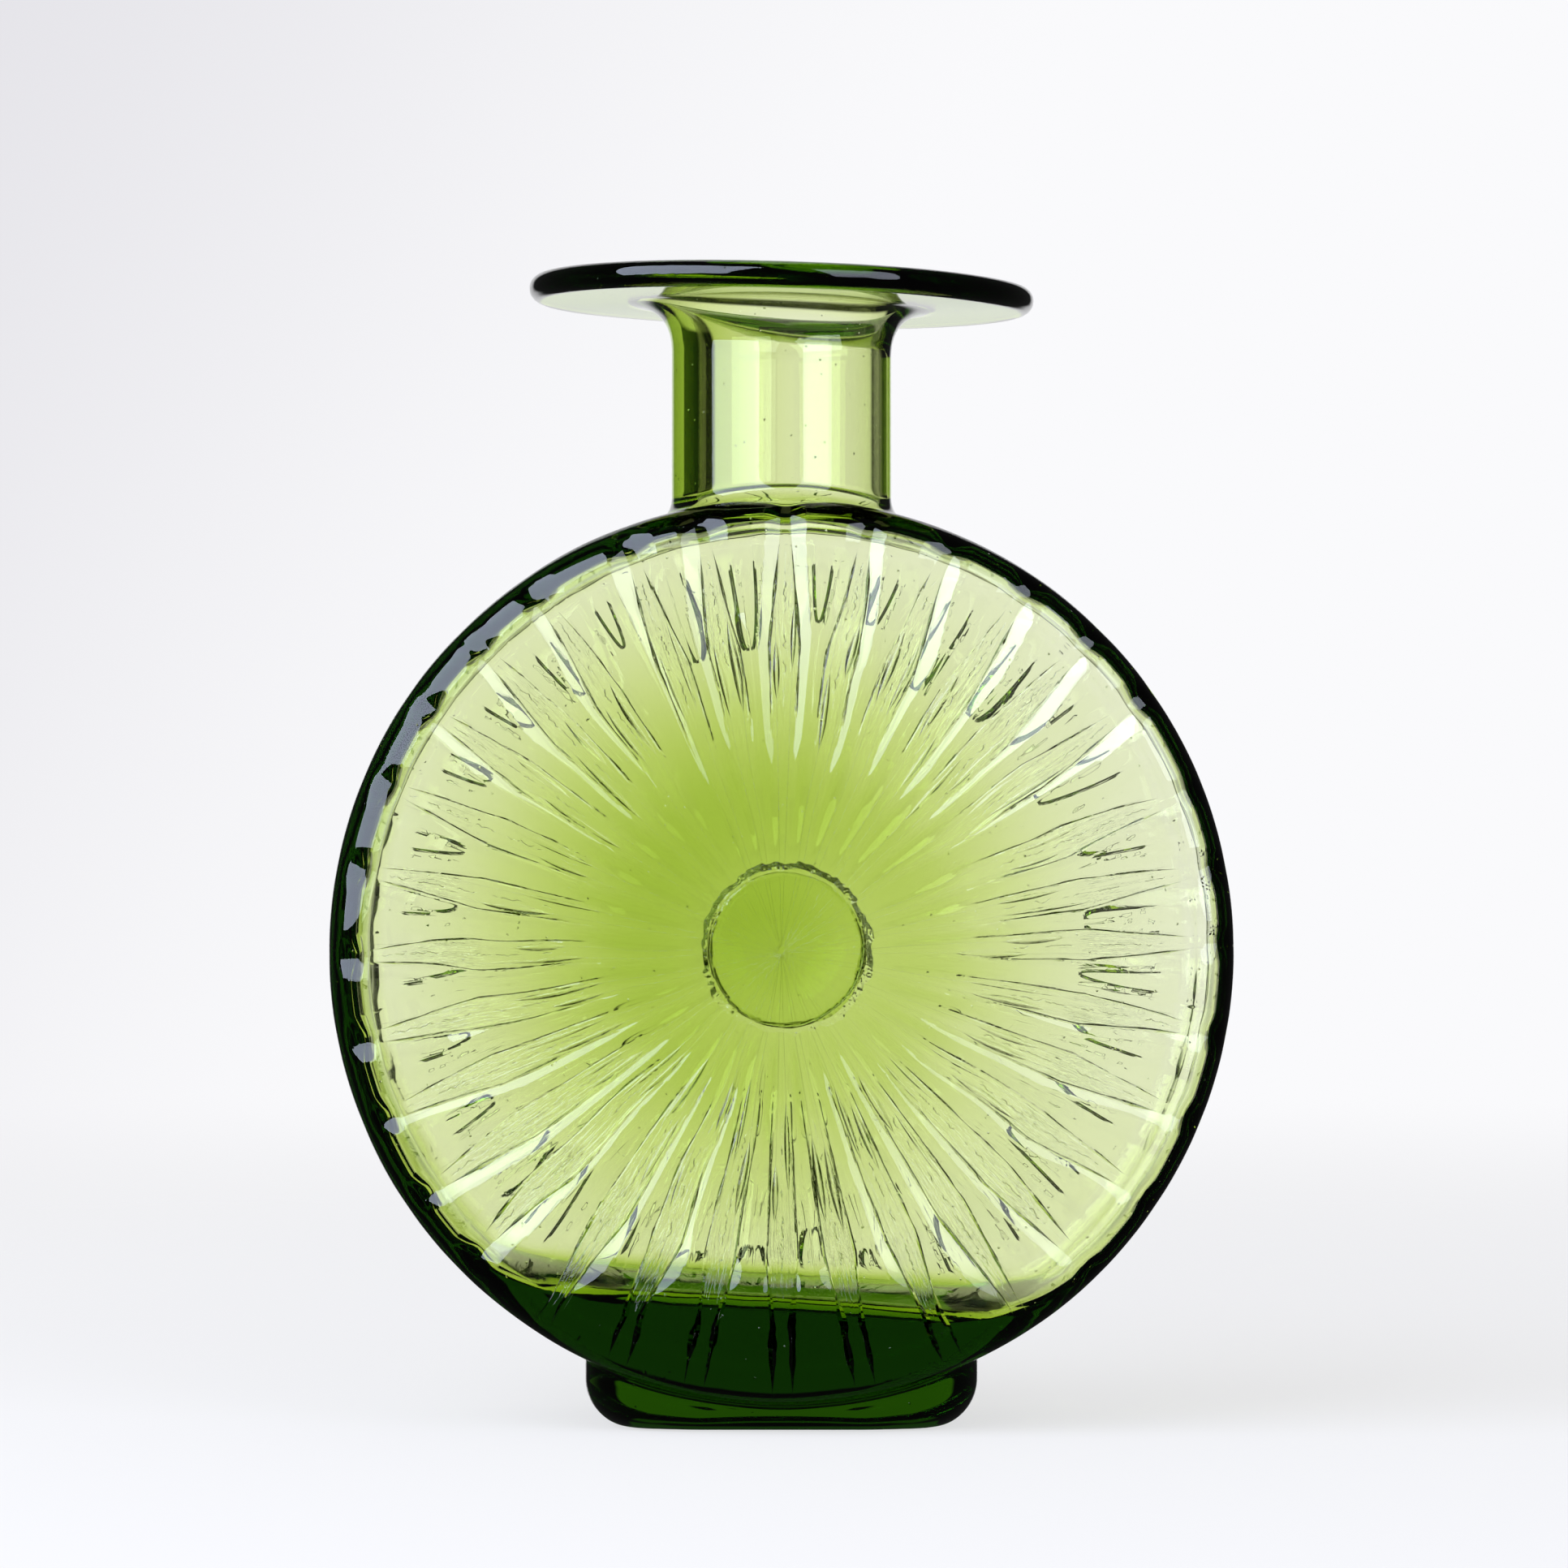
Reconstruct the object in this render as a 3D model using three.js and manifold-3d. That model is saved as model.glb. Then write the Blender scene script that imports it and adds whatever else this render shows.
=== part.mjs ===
// A mould-blown disc flask of green glass: a drum-shaped body with fluted faces, a short neck
// under a wide flat lip, and a block foot. The glass is parted where one form meets the next.
// Millimetres, +Z up. The origin is on the floor under the middle of the foot, and the front
// of the flask looks along -Y.

import * as THREE from "three";
import { mergeVertices } from "three/addons/utils/BufferGeometryUtils.js";
import Module from "manifold-3d";

const wasm = await Module();
wasm.setup();

// The drum-shaped body
const BODY_RADIUS = 86; // outside of the side band
const BODY_DEPTH = 60; // front face to rear face
const SHOULDER_RADIUS = 8; // rounding between a face and the side band
const BAND_WALL = 4.5; // glass of the side band
const FACE_EDGE_WALL = 3; // glass of a face beside the band
const FACE_CENTRE_WALL = 6; // glass of a face behind its boss
const CAVITY_CORNER = 4; // rounding of the hollow where a face meets the band
const HEEL_THICKNESS = 17; // glass pooled at the bottom of the hollow, band included

// The flutes that run out from the middle of each face
const FLUTE_COUNT = 32;
const FLUTE_DEPTH = 1.8; // at the outer end
const FLUTE_OUTER_WIDTH = 5.2;
const FLUTE_INNER_WIDTH = 2.4;
const FLUTE_BOSS_SPACE = 4; // plain glass between the boss and a flute
const FLUTE_RIM_SPACE = 6; // plain glass between a flute and the outside of the band

// The round boss in the middle of each face
const BOSS_RADIUS = 14.5;
const BOSS_HEIGHT = 2;
const BOSS_EDGE = 1; // rounding of its edge

// The neck
const NECK_RADIUS = 21;
const NECK_WALL = 3;
const NECK_LENGTH = 38; // from the top of the body to the lip
const NECK_FOOT_FLARE = 2.5; // rounding on to the body
const NECK_TOP_FLARE = 5; // rounding under the lip

// The lip, a disc that was spun out by hand and sits a little crooked
const LIP_RADIUS = 48.9;
const LIP_THICKNESS = 5;
const LIP_MOUTH_EDGE = 1.8; // rounding of the mouth
const LIP_TILT = THREE.MathUtils.degToRad(1.6); // lower at +X

// The foot, a rounded block under the body
const FOOT_WIDTH = 75.5;
const FOOT_SETBACK = 8; // from a face of the body in to the side of the foot
const FOOT_CORNER = 13; // plan corners
const FOOT_EDGE = 8; // rounding down to the floor
const FOOT_DROP = 5.5; // how far it stands out below the body
const KICK_DEPTH = 1.2; // hollow in the underside
const KICK_MARGIN = 12; // from the side of the foot to that hollow
const KICK_CORNER = 4; // plan corners of that hollow

const JOINT_GAP = 0.3; // between curved pieces that meet
const TURN_STEPS = 96; // sides of a large turned form
const NECK_STEPS = 48; // sides of the neck and the lip
const FLUTE_STEPS = 8; // sides of a flute's cutter
const ARC_STEPS = 3; // steps of a quarter round
const MERGE_DISTANCE = 1e-4; // corners closer than this are one corner

// What follows from those sizes
const halfDepth = BODY_DEPTH / 2;
const bodyCentre = FOOT_DROP + BODY_RADIUS;
const bodyTop = bodyCentre + BODY_RADIUS;
const cavityRadius = BODY_RADIUS - BAND_WALL;
const cavityEdge = halfDepth - FACE_EDGE_WALL;
const bandHalf = halfDepth - Math.max(SHOULDER_RADIUS, FACE_EDGE_WALL + CAVITY_CORNER);
const boreRadius = NECK_RADIUS - NECK_WALL;
const lipUnderside = bodyTop + NECK_LENGTH;
const footDepth = BODY_DEPTH - 2 * FOOT_SETBACK;

// Points of a quarter round about (x, y), from one angle to another, in degrees.
function quarter(x, y, radius, from, to) {
  const points = [];
  for (let i = 0; i <= ARC_STEPS; i++) {
    const angle = THREE.MathUtils.degToRad(from + ((to - from) * i) / ARC_STEPS);
    points.push(new THREE.Vector2(x + radius * Math.cos(angle), y + radius * Math.sin(angle)));
  }
  return points;
}

// A list of points and lists of points as one outline without repeated points.
function outline(...parts) {
  const kept = [];
  for (const point of parts.flat()) {
    if (!kept.length || point.distanceTo(kept[kept.length - 1]) > MERGE_DISTANCE) kept.push(point);
  }
  return kept;
}

const point = (x, y) => new THREE.Vector2(x, y);

// A closed geometry as a solid that can be cut and joined.
function solid(geometry) {
  const bare = new THREE.BufferGeometry();
  bare.setAttribute("position", geometry.getAttribute("position"));
  bare.setIndex(geometry.getIndex());
  const merged = mergeVertices(bare, MERGE_DISTANCE);
  const corners = merged.getIndex().array;
  const triangles = [];
  for (let i = 0; i < corners.length; i += 3) {
    const [a, b, c] = corners.slice(i, i + 3);
    if (a !== b && b !== c && c !== a) triangles.push(a, b, c);
  }
  return new wasm.Manifold(
    new wasm.Mesh({
      numProp: 3,
      vertProperties: new Float32Array(merged.getAttribute("position").array),
      triVerts: new Uint32Array(triangles),
    }),
  );
}

// A solid as the geometry of a mesh.
function geometryOf(cut) {
  const { vertProperties, triVerts } = cut.getMesh();
  const geometry = new THREE.BufferGeometry();
  geometry.setAttribute("position", new THREE.BufferAttribute(vertProperties, 3));
  geometry.setIndex(new THREE.BufferAttribute(triVerts, 1));
  geometry.computeVertexNormals();
  return geometry;
}

// A solid turned about the Y axis, which is the axis of the body.
const turned = (points, steps) => solid(new THREE.LatheGeometry(points, steps));

// A solid turned about the Z axis, which is the axis of the neck.
function turnedUpright(points, steps) {
  return solid(new THREE.LatheGeometry(points, steps).rotateX(Math.PI / 2));
}

// A piece of the flask in its own glass.
function piece(name, cut, colour) {
  const glass = new THREE.MeshStandardMaterial({ color: colour, roughness: 0.05, metalness: 0 });
  const mesh = new THREE.Mesh(geometryOf(cut), glass);
  mesh.name = name;
  return mesh;
}

const PALE_GREEN = "#b5c96b"; // thin glass: the faces, the neck and the bosses
const DARK_GREEN = "#2c4a10"; // deep glass: the band, the heel, the foot and the edge of the lip

// The outside of the body, grown by a clearance, about its own middle.
function bodyOutside(growth) {
  const radius = SHOULDER_RADIUS + growth;
  const arcRadius = BODY_RADIUS - SHOULDER_RADIUS;
  const arcHeight = halfDepth - SHOULDER_RADIUS;
  return turned(
    outline(
      point(0, -halfDepth - growth),
      quarter(arcRadius, -arcHeight, radius, -90, 0),
      quarter(arcRadius, arcHeight, radius, 0, 90),
      point(0, halfDepth + growth),
    ),
    TURN_STEPS,
  );
}

// The hollow of the body, shrunk by a clearance, from the middle plane to one face.
function cavityOutline(inset) {
  const corner = CAVITY_CORNER - inset;
  const wall = cavityRadius - inset;
  return outline(
    point(wall, cavityEdge - CAVITY_CORNER),
    quarter(cavityRadius - CAVITY_CORNER, cavityEdge - CAVITY_CORNER, corner, 0, 90),
    point(0, halfDepth - FACE_CENTRE_WALL - inset),
  );
}

// The bore of the neck, from the middle of the body to above the lip.
function neckBore() {
  const length = lipUnderside + LIP_THICKNESS + LIP_RADIUS - bodyCentre;
  const bore = new THREE.CylinderGeometry(boreRadius, boreRadius, length, NECK_STEPS);
  return solid(bore.rotateX(Math.PI / 2).translate(0, 0, length / 2));
}

// The cutter of one flute: a tapered round bar with round ends along Y, half sunk in the face.
function fluteCutter() {
  const half = FLUTE_OUTER_WIDTH / 2;
  const outer = (half ** 2 + FLUTE_DEPTH ** 2) / (2 * FLUTE_DEPTH);
  const height = outer - FLUTE_DEPTH;
  const inner = Math.hypot(height, FLUTE_INNER_WIDTH / 2);
  const start = BOSS_RADIUS + FLUTE_BOSS_SPACE + FLUTE_INNER_WIDTH / 2;
  const end = BODY_RADIUS - FLUTE_RIM_SPACE - half;
  const bar = new THREE.LatheGeometry(
    outline(quarter(0, start, inner, -90, 0), quarter(0, end, outer, 0, 90)),
    FLUTE_STEPS,
  );
  return bar.rotateX(Math.PI / 2).translate(0, halfDepth + height, 0);
}

// One face of the body with its flutes and its rounded shoulder, at +Y. It ends at the band.
function face() {
  const inside = cavityOutline(0);
  const shoulder = quarter(
    BODY_RADIUS - SHOULDER_RADIUS,
    halfDepth - SHOULDER_RADIUS,
    SHOULDER_RADIUS,
    0,
    90,
  );
  let plate = turned(
    outline(
      [...inside].reverse(),
      point(cavityRadius, bandHalf),
      point(BODY_RADIUS, bandHalf),
      shoulder,
      point(0, halfDepth),
    ),
    TURN_STEPS,
  );
  const bar = fluteCutter();
  for (let i = 0; i < FLUTE_COUNT; i++) {
    const angle = (2 * Math.PI * i) / FLUTE_COUNT;
    plate = plate.subtract(solid(bar.clone().rotateY(angle)));
  }
  return plate.subtract(neckBore());
}

// The plain side wall of the body, open at the top for the neck.
function rimBand() {
  const ring = turned(
    outline(
      point(cavityRadius, -bandHalf),
      point(BODY_RADIUS, -bandHalf),
      point(BODY_RADIUS, bandHalf),
      point(cavityRadius, bandHalf),
      point(cavityRadius, -bandHalf),
    ),
    TURN_STEPS,
  );
  return ring.subtract(neckBore());
}

// The thick glass at the bottom of the hollow, level on top.
function heel() {
  const half = cavityOutline(JOINT_GAP);
  const mirrored = half.map((p) => point(p.x, -p.y)).reverse();
  const filling = turned(outline(mirrored, half), TURN_STEPS);
  const floor = HEEL_THICKNESS - BODY_RADIUS;
  const above = new THREE.BoxGeometry(2 * BODY_RADIUS, BODY_DEPTH, 2 * BODY_RADIUS);
  return filling.subtract(solid(above.translate(0, 0, floor + BODY_RADIUS)));
}

// The flat button on a face, at +Y.
function boss() {
  return turned(
    outline(
      point(0, halfDepth),
      point(BOSS_RADIUS, halfDepth),
      quarter(BOSS_RADIUS - BOSS_EDGE, halfDepth + BOSS_HEIGHT - BOSS_EDGE, BOSS_EDGE, 0, 90),
      point(0, halfDepth + BOSS_HEIGHT),
    ),
    NECK_STEPS,
  );
}

// The space above the slope of the lip's underside, lowered by a clearance, over the floor.
function aboveLip(clearance) {
  const side = 4 * LIP_RADIUS;
  const block = new THREE.BoxGeometry(side, side, side).translate(0, 0, side / 2 - clearance);
  return solid(block.rotateY(LIP_TILT).translate(0, 0, lipUnderside));
}

// The neck tube, flared at both ends, saddled on the body and cut to the slope of the lip.
function neck() {
  const footRadius = NECK_RADIUS + NECK_FOOT_FLARE;
  const topRadius = NECK_RADIUS + NECK_TOP_FLARE;
  const sag = BODY_RADIUS - Math.sqrt(BODY_RADIUS ** 2 - footRadius ** 2);
  const bottom = bodyTop - sag - SHOULDER_RADIUS;
  const top = lipUnderside + topRadius * Math.sin(LIP_TILT);
  const tube = turnedUpright(
    outline(
      point(boreRadius, bottom),
      point(footRadius, bottom),
      quarter(footRadius, bodyTop + NECK_FOOT_FLARE, NECK_FOOT_FLARE, 270, 180),
      quarter(topRadius, top - NECK_TOP_FLARE, NECK_TOP_FLARE, 180, 90),
      point(boreRadius, top),
      point(boreRadius, bottom),
    ),
    NECK_STEPS,
  );
  const saddle = bodyOutside(JOINT_GAP).translate(0, 0, bodyCentre);
  return tube.subtract(saddle).subtract(aboveLip(JOINT_GAP));
}

// The lip, from its own underside up.
function lip() {
  const edge = LIP_THICKNESS / 2;
  return turnedUpright(
    outline(
      point(boreRadius, 0),
      quarter(LIP_RADIUS - edge, edge, edge, -90, 0),
      quarter(LIP_RADIUS - edge, edge, edge, 0, 90),
      quarter(boreRadius + LIP_MOUTH_EDGE, LIP_THICKNESS - LIP_MOUTH_EDGE, LIP_MOUTH_EDGE, 90, 180),
      point(boreRadius, 0),
    ),
    NECK_STEPS,
  );
}

// A rounded rectangle about the origin.
function roundedRectangle(width, depth, corner) {
  const x = width / 2 - corner;
  const y = depth / 2 - corner;
  const shape = new THREE.Shape();
  shape.absarc(x, y, corner, 0, Math.PI / 2);
  shape.absarc(-x, y, corner, Math.PI / 2, Math.PI);
  shape.absarc(-x, -y, corner, Math.PI, 1.5 * Math.PI);
  shape.absarc(x, -y, corner, 1.5 * Math.PI, 2 * Math.PI);
  return shape;
}

// The foot block, hollowed by the body that rests in it and by a shallow kick underneath.
function foot() {
  const rise = BODY_RADIUS - Math.sqrt(BODY_RADIUS ** 2 - (FOOT_WIDTH / 2) ** 2);
  const height = FOOT_DROP + rise + SHOULDER_RADIUS + FOOT_EDGE;
  const plan = roundedRectangle(
    FOOT_WIDTH - 2 * FOOT_EDGE,
    footDepth - 2 * FOOT_EDGE,
    FOOT_CORNER - FOOT_EDGE,
  );
  const block = new THREE.ExtrudeGeometry(plan, {
    depth: height - 2 * FOOT_EDGE,
    bevelSize: FOOT_EDGE,
    bevelThickness: FOOT_EDGE,
    bevelSegments: ARC_STEPS,
    curveSegments: ARC_STEPS,
  }).translate(0, 0, FOOT_EDGE);
  const kickPlan = roundedRectangle(
    FOOT_WIDTH - 2 * KICK_MARGIN,
    footDepth - 2 * KICK_MARGIN,
    KICK_CORNER,
  );
  const kick = new THREE.ExtrudeGeometry(kickPlan, {
    depth: 2 * KICK_DEPTH,
    bevelEnabled: false,
    curveSegments: ARC_STEPS,
  }).translate(0, 0, -KICK_DEPTH);
  const saddle = bodyOutside(JOINT_GAP).translate(0, 0, bodyCentre);
  return solid(block).subtract(saddle).subtract(solid(kick));
}

// The flask put together
const flask = new THREE.Group();

const body = new THREE.Group();
body.position.z = bodyCentre;
body.add(piece("rim_band", rimBand(), DARK_GREEN), piece("heel", heel(), DARK_GREEN));

const rear = new THREE.Group();
rear.add(piece("rear_face", face(), PALE_GREEN), piece("rear_boss", boss(), PALE_GREEN));

const front = new THREE.Group();
front.rotation.z = Math.PI;
front.add(piece("front_face", face(), PALE_GREEN), piece("front_boss", boss(), PALE_GREEN));

body.add(rear, front);

const mouth = new THREE.Group();
mouth.position.z = lipUnderside;
mouth.rotation.y = LIP_TILT;
mouth.add(piece("lip", lip(), DARK_GREEN));

flask.add(body, piece("neck", neck(), PALE_GREEN), mouth, piece("foot", foot(), DARK_GREEN));

export default flask;
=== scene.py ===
"""A mould-blown disc flask of green glass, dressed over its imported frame.

The flask is one skin of glass. Each of its forms is described by the distance to its surface, in
millimetres and negative inside the form. The forms run together as hot glass does, and a net is
laid over the surface of the whole. +Z is up and the front of the flask looks along -Y.
"""

import math

import bpy
import numpy as np
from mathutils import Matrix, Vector


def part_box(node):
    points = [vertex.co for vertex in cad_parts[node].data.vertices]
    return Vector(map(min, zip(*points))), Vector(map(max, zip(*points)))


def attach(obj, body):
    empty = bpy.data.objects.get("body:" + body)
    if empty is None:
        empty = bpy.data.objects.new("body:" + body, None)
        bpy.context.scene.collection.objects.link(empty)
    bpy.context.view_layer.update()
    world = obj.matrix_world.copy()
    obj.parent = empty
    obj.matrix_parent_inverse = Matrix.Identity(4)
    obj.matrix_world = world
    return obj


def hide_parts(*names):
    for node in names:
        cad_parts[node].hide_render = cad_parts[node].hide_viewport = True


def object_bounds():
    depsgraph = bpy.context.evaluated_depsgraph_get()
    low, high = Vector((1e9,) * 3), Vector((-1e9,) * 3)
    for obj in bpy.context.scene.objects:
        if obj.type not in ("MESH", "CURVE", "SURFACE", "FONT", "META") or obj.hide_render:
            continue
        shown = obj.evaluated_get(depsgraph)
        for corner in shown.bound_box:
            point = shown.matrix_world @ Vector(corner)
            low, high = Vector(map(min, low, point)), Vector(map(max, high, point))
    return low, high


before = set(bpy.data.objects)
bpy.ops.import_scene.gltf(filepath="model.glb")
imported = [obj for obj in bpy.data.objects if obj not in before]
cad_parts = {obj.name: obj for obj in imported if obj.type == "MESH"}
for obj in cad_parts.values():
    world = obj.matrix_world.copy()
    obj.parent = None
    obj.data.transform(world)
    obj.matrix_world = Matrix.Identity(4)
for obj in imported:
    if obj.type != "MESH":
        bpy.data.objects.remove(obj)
cad_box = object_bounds()

MM = 0.001


def node_box(node):
    """The lowest and highest corner of a piece of the frame, in millimetres."""
    low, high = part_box(node)
    return np.array(low) / MM, np.array(high) / MM


# The drum is the body of the flask, a round slab blown into a two-part mould and stood on edge.
# Its faces are flat and its shoulders are rounded over to a plain band.
SHOULDER_ROUND = 7.5

band_low, band_high = node_box("rim_band")
body_z = (band_low[2] + band_high[2]) / 2
body_radius = (band_high[0] - band_low[0]) / 2
face_y = node_box("rear_face")[1][1]


def round_disc(radius, height, reach, half, rounding):
    """A disc with rounded edges, from the distance to its axis and the height over its middle."""
    side = radius - (reach - rounding)
    rise = np.abs(height) - (half - rounding)
    corner = np.hypot(np.maximum(side, 0), np.maximum(rise, 0))
    return corner + np.minimum(np.maximum(side, rise), 0) - rounding


def ease(value, low, high):
    """A soft step from 0 at low to 1 at high."""
    share = np.clip((value - low) / (high - low), 0, 1)
    return share * share * (3 - 2 * share)


# The flutes are the mould's radial grooves, pressed into both faces. Each has a flat channel and
# sloping flanks, which meet the next flute's towards the middle. They reach furthest in below the
# boss, and run out over the shoulder. The rear ones lie between those of the front.
FLUTE_COUNT = 32
FLUTE_START, FLUTE_FULL = 9.0, 42.0
FLUTE_LOWER = 7.0
FLUTE_FADE = 79.0
FLANK_SLOPE = 0.37
FLANK_CURL = 0.3
FLANK_WIDEST, FLANK_LEAST = 5.6, 4.3
FLANK_MEET = 57.0
FLANK_SOFT = 0.35
CHANNEL_WIDEST, CHANNEL_LEAST = np.array([2.8, 1.9]), np.array([1.1, 1.9])
SWELL_LENGTH = 27.0
CALM_FROM, CALM_TO, CALM_SHARE = 58.0, 68.0, 0.7
SWELL_DEEP = 0.06
FLANK_TIGHTEST = 0.5
FLANK_BEYOND, FADE_BEYOND = 2.0, 1.0
FLUTE_DOWN = (5.0, 11.0)
LEAN_SPREAD, BEND_SPREAD = 0.011, 0.14
WIDTH_RANGE, DEEP_RANGE, LATE_RANGE = (0.88, 1.12), (0.8, 1.12), (-3, 8)
FLUTE_SEED = 32
WAVE_COUNT, WAVE_PHASES, WAVE_SUM = 4, 6.0, 2.5
FACE_UNEVEN = 0.05

draws = np.random.default_rng(FLUTE_SEED)
flute_lean = draws.normal(0, LEAN_SPREAD, (2, FLUTE_COUNT))
flute_width = draws.uniform(*WIDTH_RANGE, (2, FLUTE_COUNT))
flute_deep = draws.uniform(*DEEP_RANGE, (2, FLUTE_COUNT))
flute_late = draws.uniform(*LATE_RANGE, (2, FLUTE_COUNT))
flute_bend = draws.normal(0, BEND_SPREAD, (2, FLUTE_COUNT))
flute_phase = draws.uniform(0, 2 * math.pi, (2, FLUTE_COUNT))
pitch = 2 * math.pi / FLUTE_COUNT


def flutes(x, y, z):
    """The nearest flute to each point: how far it strays sideways and starts late, the distance across
    it, the half widths of its flanks and channel, and how deep it is pressed there."""
    side = (y > 0).astype(int) + np.zeros(np.broadcast(x, z).shape, int)
    radius = np.hypot(x, z - body_z)
    turn = np.arctan2(x, z - body_z) - side * pitch / 2
    number = np.rint(turn / pitch).astype(int)
    one = number % FLUTE_COUNT
    swell = np.sin(2 * math.pi * radius / SWELL_LENGTH + flute_phase[side, one])
    stray = flute_bend[side, one] * swell - flute_lean[side, one] * radius
    across = radius * np.sin(turn - number * pitch) + stray
    outward = ease(radius, FLANK_MEET, FLUTE_FADE + FLANK_BEYOND)
    room = (pitch / 2 - np.abs(flute_lean[side, one])) * radius - np.abs(flute_bend[side, one])
    flank = FLANK_WIDEST + (FLANK_LEAST - FLANK_WIDEST) * outward
    flank = np.minimum(flank * flute_width[side, one], np.maximum(room, FLANK_TIGHTEST))
    channel = CHANNEL_WIDEST[side] + (CHANNEL_LEAST - CHANNEL_WIDEST)[side] * outward
    channel = np.minimum(channel, flank / 2)
    late = flute_late[side, one]
    lower = FLUTE_LOWER * np.cos(turn)
    pressed = flute_deep[side, one] * (1 - ease(radius, FLUTE_FADE, body_radius + FADE_BEYOND))
    down = face_y - np.abs(y)
    pressed = pressed * (1 - ease(down, *FLUTE_DOWN)) * (1 + SWELL_DEEP * swell)
    pressed = pressed * (1 - CALM_SHARE * ease(body_z - z, CALM_FROM, CALM_TO))
    pressed = pressed * ease(radius, FLUTE_START + lower + late / 2, FLUTE_FULL + lower)
    return stray, late, across, flank, channel, pressed


def flanks(across, flank, channel, soft):
    """The fall of a flute's flanks to its channel, with the bend between them softened."""
    beyond = np.abs(across) - channel
    width = flank - channel
    share = np.minimum((beyond + np.hypot(beyond, soft)) / (2 * width), 1)
    return FLANK_SLOPE * width * (1 - share) * (1 - FLANK_CURL * share)


def waves(x, y, z, length, seed):
    """The slow unevenness of blown glass, about -1 to 1, with waves of one length."""
    toss = np.random.default_rng(seed)
    total = 0
    for _ in range(WAVE_COUNT):
        way = toss.normal(0, 1, 3)
        way *= 2 * math.pi / (length * np.linalg.norm(way))
        total = total + np.sin(way[0] * x + way[1] * y + way[2] * z + toss.uniform(0, WAVE_PHASES))
    return total / WAVE_SUM


def drum(x, y, z, across, flank, channel, pressed):
    plain = round_disc(np.hypot(x, z - body_z), y, body_radius, face_y, SHOULDER_ROUND)
    fall = pressed * flanks(across, flank, channel, FLANK_SOFT)
    return plain + fall + FACE_UNEVEN * waves(x, y, z, length=21, seed=5)


# The bosses are the flat buttons in the middle of the faces, where the mould's two halves held
# a round plug. The front one came out crisp but not quite true, and the rear one softer.
BOSS_EDGE = 0.35
BOSS_BLEND = 0.5
BOSS_SHIFT = np.array([[0.9, 0.7], [-1.8, 1.2]])
BOSS_LOBES = ((3, 1.0, 0.010), (8, 0.0, 0.004))
REAR_EDGE = (-9.0, 3.0)

front_low, front_high = node_box("front_boss")
rear_high = node_box("rear_boss")[1]
boss_radius = (front_high[0] - front_low[0]) / 2


def front_boss(x, y, z):
    x = x - BOSS_SHIFT[0, 0]
    z = z - body_z - BOSS_SHIFT[0, 1]
    turn = np.arctan2(z, x)
    lobes = sum(size * np.sin(count * turn + start) for count, start, size in BOSS_LOBES)
    reach = boss_radius * (1 + lobes)
    middle = (front_low[1] + front_high[1]) / 2
    return round_disc(np.hypot(x, z), y - middle, reach, front_high[1] - middle, BOSS_EDGE)


def rear_boss(x, y, z):
    """How far the soft rear boss stands out of the rear face."""
    radius = np.hypot(x - BOSS_SHIFT[1, 0], z - body_z - BOSS_SHIFT[1, 1])
    share = 1 - ease(radius - boss_radius, *REAR_EDGE)
    return (rear_high[1] - face_y) * share * (y > 0)


# The neck is a short straight tube that was drawn from the body. It swells where it leaves the
# band and again where the lip was spun out from it.
NECK_RADIUS = 21.3
NECK_BLEND = 4.0
NECK_ROUND = 0.5
NECK_BELOW = 2.0

lip_low, lip_high = node_box("lip")


def neck(x, y, z):
    low = body_z + body_radius / 2
    high = lip_high[2] - NECK_BELOW
    rise = z - (low + high) / 2
    return round_disc(np.hypot(x, y), rise, NECK_RADIUS, (high - low) / 2, NECK_ROUND)


# The lip is a wide flat disc, spun out from the hot end of the neck and left a little crooked,
# with a full round edge that gathers the colour of the whole disc.
LIP_TILT = math.radians(1.6)
LIP_THICKNESS = 5.0
LIP_BLEND = 9.0
LIP_UNEVEN = 0.12
LIP_FLAT = 0.1

lip_radius = (lip_high[1] - lip_low[1]) / 2
lip_z = (lip_low[2] + lip_high[2]) / 2


def lip(x, y, z):
    along = x * math.cos(LIP_TILT) - (z - lip_z) * math.sin(LIP_TILT)
    rise = x * math.sin(LIP_TILT) + (z - lip_z) * math.cos(LIP_TILT)
    rise = rise + LIP_UNEVEN * waves(x, y, 0, length=60, seed=8)
    half = LIP_THICKNESS / 2
    return round_disc(np.hypot(along, y), rise, lip_radius, half, half - LIP_FLAT)


# The foot is a rounded block that the mould formed under the drum, hollowed a little underneath
# so that it stands on a ring.
FOOT_CORNER = 13.0
FOOT_EDGE = (4.5, 9.0)
FOOT_BLEND = 1.6
KICK_DEPTH = 1.2
KICK_MARGIN, KICK_SOFT = 11.0, 3.0
EDGE_FROM = 14.0
FOOT_RISE = 3.0

foot_high = node_box("foot")[1]


def foot(x, y, z):
    side_x = np.abs(x) - (foot_high[0] - FOOT_CORNER)
    side_y = np.abs(y) - (foot_high[1] - FOOT_CORNER)
    plan = np.hypot(np.maximum(side_x, 0), np.maximum(side_y, 0))
    plan = plan + np.minimum(np.maximum(side_x, side_y), 0) - FOOT_CORNER
    kick = KICK_DEPTH * ease(-plan, KICK_MARGIN - KICK_SOFT, KICK_MARGIN + KICK_SOFT)
    outward = ease(np.abs(x), EDGE_FROM, foot_high[0])
    edge = FOOT_EDGE[0] + (FOOT_EDGE[1] - FOOT_EDGE[0]) * outward
    side = plan + edge
    drop = edge - (z - kick)
    block = np.hypot(np.maximum(side, 0), np.maximum(drop, 0))
    block = block + np.minimum(np.maximum(side, drop), 0) - edge
    return np.maximum(block, z - foot_high[2] - FOOT_RISE)


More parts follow.
